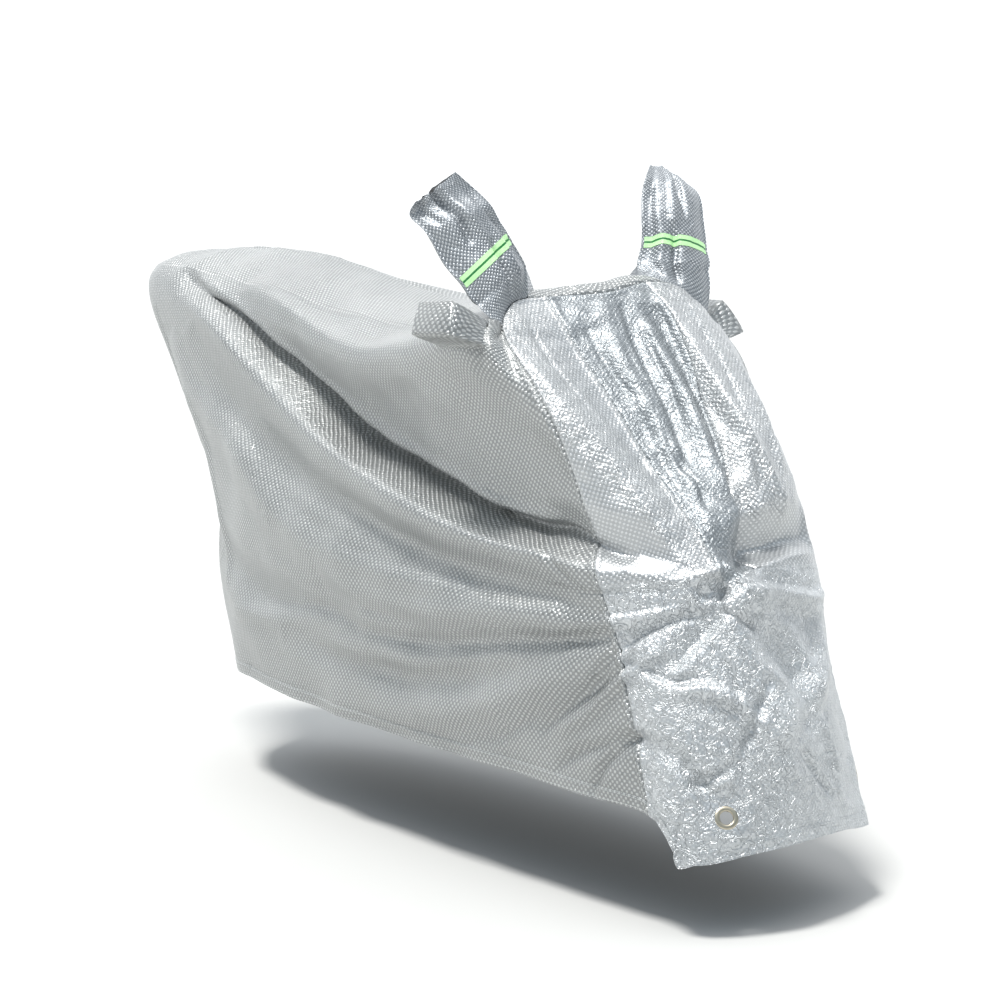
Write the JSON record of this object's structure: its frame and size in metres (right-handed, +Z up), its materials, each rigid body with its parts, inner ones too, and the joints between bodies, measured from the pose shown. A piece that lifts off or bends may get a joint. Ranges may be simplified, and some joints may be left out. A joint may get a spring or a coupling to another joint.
{
  "type": "motorcycle cover",
  "caption": "Fitted silver cover for a motorcycle, hollow and open below, with mirror pockets, reflective bands and lock eyelets in a longer front apron.",
  "frame": {"origin": "underside of the top cloth over the seat, where the cover is carried", "axes": "+X to the front, +Y to the left, +Z up"},
  "size_m": [2.2133, 0.7254, 1.143],
  "materials": {
    "silver_cloth": "metallised film on polyester, embossed with small dots",
    "reflective_band": "satin lime ribbon with a darker thread along its middle",
    "nickel": "polished, slightly worn"
  },
  "bodies": {
    "root": {"front_panel": "silver_cloth", "yoke": "silver_cloth", "apron": "silver_cloth", "side_panel_right": "silver_cloth", "side_panel_left": "silver_cloth", "front_strip_right": "silver_cloth", "front_strip_left": "silver_cloth", "lock_strip_right": "silver_cloth", "lock_strip_left": "silver_cloth", "lock_eyelet_right": "nickel", "lock_eyelet_left": "nickel", "mirror_pocket_right": "silver_cloth", "mirror_pocket_left": "silver_cloth", "pocket_band_right": "reflective_band", "pocket_band_left": "reflective_band"}
  },
  "joints": []
}
